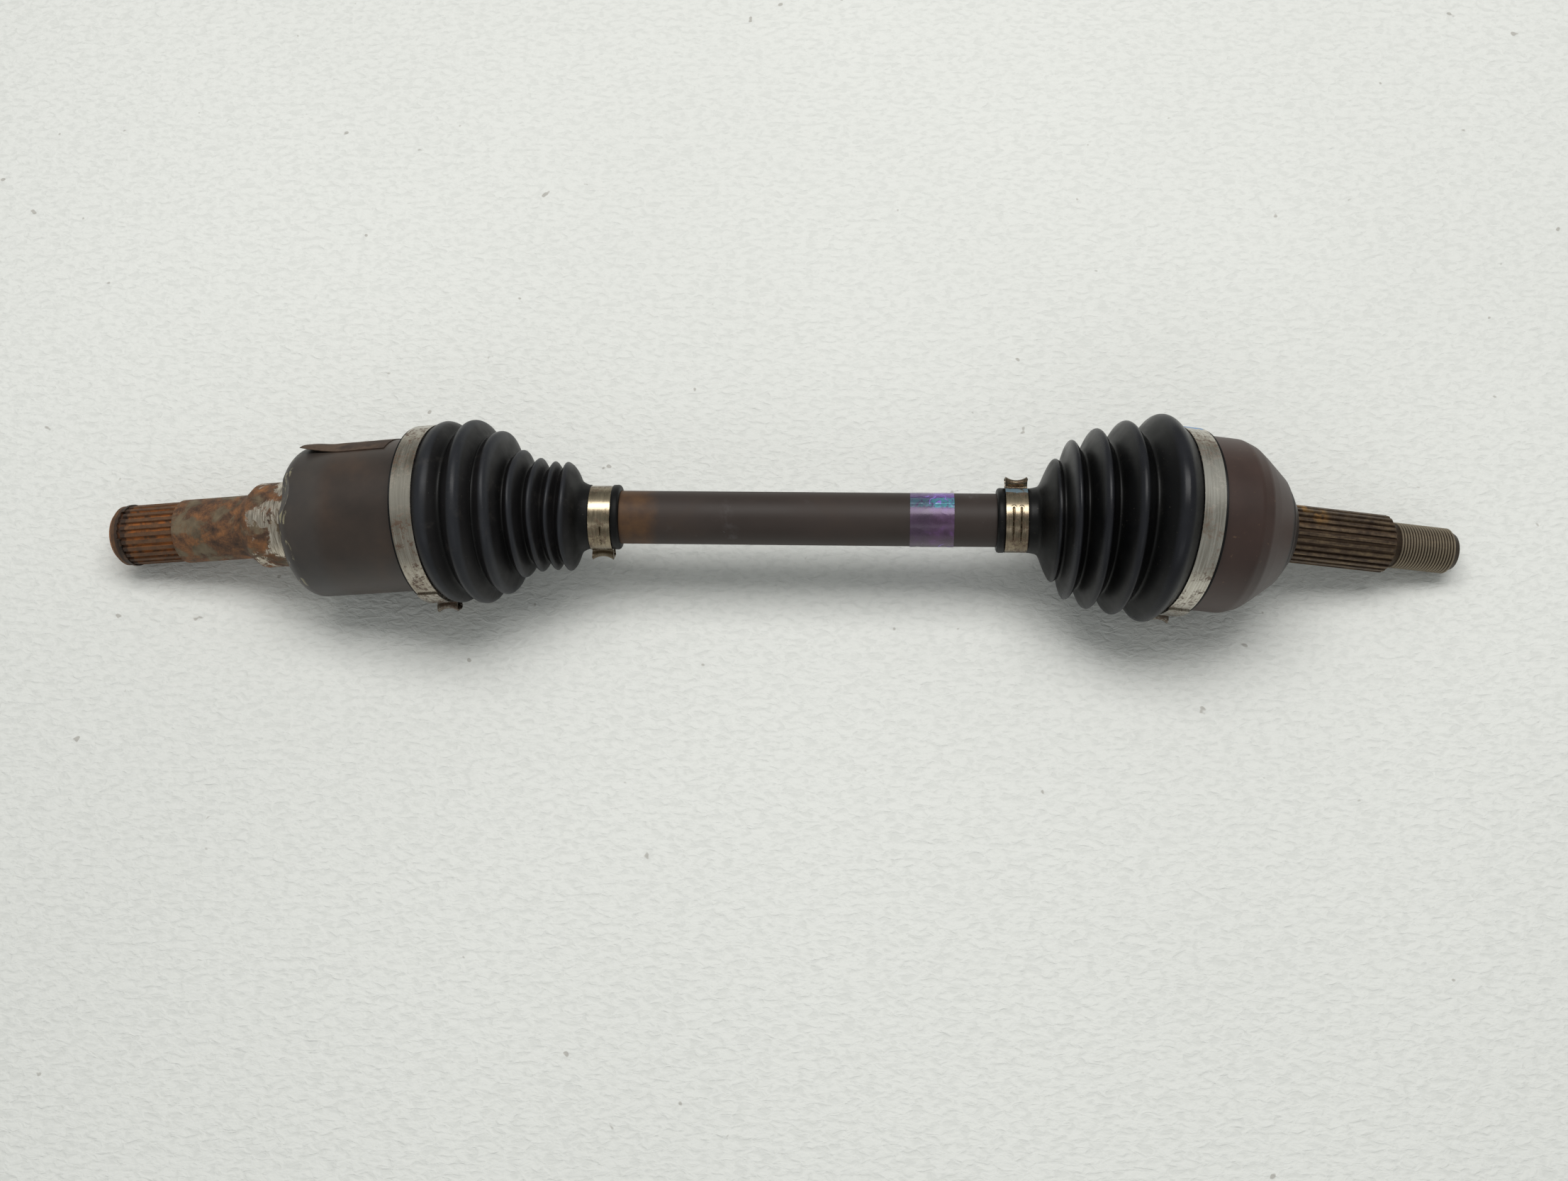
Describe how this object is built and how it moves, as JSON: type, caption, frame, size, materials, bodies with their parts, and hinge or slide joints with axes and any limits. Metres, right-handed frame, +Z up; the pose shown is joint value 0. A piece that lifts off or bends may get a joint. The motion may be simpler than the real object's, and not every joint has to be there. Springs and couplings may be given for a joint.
{
  "type": "cv axle",
  "caption": "Front-wheel-drive CV axle: splined tripod plunge joint, solid shaft with two ribbed rubber boots, and a ball-type wheel joint with splined, threaded stub.",
  "frame": {"origin": "middle of the axle's overall box, on the surface it lies on", "axes": "+X along the shaft towards the wheel end, +Z up from the surface, +Y to the far side"},
  "size_m": [0.6594, 0.0978, 0.0972],
  "materials": {
    "shaft_paint": "dark brown rust-proof paint, satin",
    "label_film": "violet printed film, wrinkled",
    "bearing_steel": "ground and hardened steel, lightly oiled",
    "spring_steel": "blackened spring steel",
    "clamp_bronze": "zinc and bronze tinted steel strip",
    "clamp_steel": "bright steel strip with rust specks",
    "boot_rubber": "matte black moulded rubber",
    "inner_housing_metal": "dark brown paint, rusted orange-brown on the stub, worn bright on the bearing land",
    "outer_housing_metal": "reddish brown paint, oxidised bronze-grey on the spline and thread",
    "tag_paper": "brown paper tag"
  },
  "bodies": {
    "shaft": {"intermediate_shaft": "shaft_paint", "shaft_label": "label_film", "tripod_spider": "bearing_steel", "spider_circlip": "spring_steel", "roller_retainer_1": "spring_steel", "roller_retainer_2": "spring_steel", "roller_retainer_3": "spring_steel", "roller_needles_1": "bearing_steel", "roller_needles_2": "bearing_steel", "roller_needles_3": "bearing_steel", "inner_boot_small_clamp": "clamp_bronze", "outer_boot_small_clamp": "clamp_bronze", "outer_boot": "boot_rubber", "outer_inner_race": "bearing_steel", "inner_race_circlip": "spring_steel"},
    "inner_bellows": {"inner_boot": "boot_rubber"},
    "inner_housing": {"inner_joint_housing": "inner_housing_metal", "inner_stub_circlip": "spring_steel", "inner_boot_large_clamp": "clamp_steel", "housing_tag": "tag_paper"},
    "roller_1": {"tripod_roller_1": "bearing_steel"},
    "roller_2": {"tripod_roller_2": "bearing_steel"},
    "roller_3": {"tripod_roller_3": "bearing_steel"},
    "cage": {"ball_cage": "bearing_steel", "ball_1": "bearing_steel", "ball_2": "bearing_steel", "ball_3": "bearing_steel", "ball_4": "bearing_steel", "ball_5": "bearing_steel", "ball_6": "bearing_steel"},
    "outer_housing": {"outer_joint_housing": "outer_housing_metal", "outer_boot_large_clamp": "clamp_steel"}
  },
  "joints": [
    {"name": "inner_bend", "type": "hinge", "parent": "shaft", "child": "inner_bellows", "pos_m": [-0.17506, 0, 0.04435], "axis": [0, -1, 0], "range_deg": [-31.5, 8.3], "deforming": ["inner_boot"]},
    {"name": "inner_plunge", "type": "slide", "parent": "inner_bellows", "child": "inner_housing", "axis": [0.9803, 0, 0.1975], "range_m": [-0.007, 0.012], "deforming": ["inner_boot"]},
    {"name": "outer_bend", "type": "hinge", "parent": "shaft", "child": "outer_housing", "pos_m": [0.19794, 0, 0.04435], "axis": [0, 1, 0], "range_deg": [-54.8, 25], "deforming": ["outer_boot"]},
    {"name": "cage_tilt", "type": "hinge", "parent": "shaft", "child": "cage", "pos_m": [0.19794, 0, 0.04435], "axis": [0, 1, 0], "range_deg": [-27.6, 12.7]},
    {"name": "roller_spin_1", "type": "hinge", "parent": "shaft", "child": "roller_1", "pos_m": [-0.17506, 0, 0.02385], "axis": [0, 0, -1], "range_deg": [-27, 45.5]},
    {"name": "roller_spin_2", "type": "hinge", "parent": "shaft", "child": "roller_2", "pos_m": [-0.17506, 0.01775, 0.0546], "axis": [0, 0.866, 0.5], "range_deg": [-27, 45.5]},
    {"name": "roller_spin_3", "type": "hinge", "parent": "shaft", "child": "roller_3", "pos_m": [-0.17506, -0.01775, 0.0546], "axis": [0, -0.866, 0.5], "range_deg": [-27, 45.5]}
  ],
  "couplings": [
    {"joint": "cage_tilt", "follows": "outer_bend", "ratio": 0.5},
    {"joint": "roller_spin_1", "follows": "inner_plunge", "rad_per_m": 64.516},
    {"joint": "roller_spin_2", "follows": "inner_plunge", "rad_per_m": 64.516},
    {"joint": "roller_spin_3", "follows": "inner_plunge", "rad_per_m": 64.516}
  ]
}
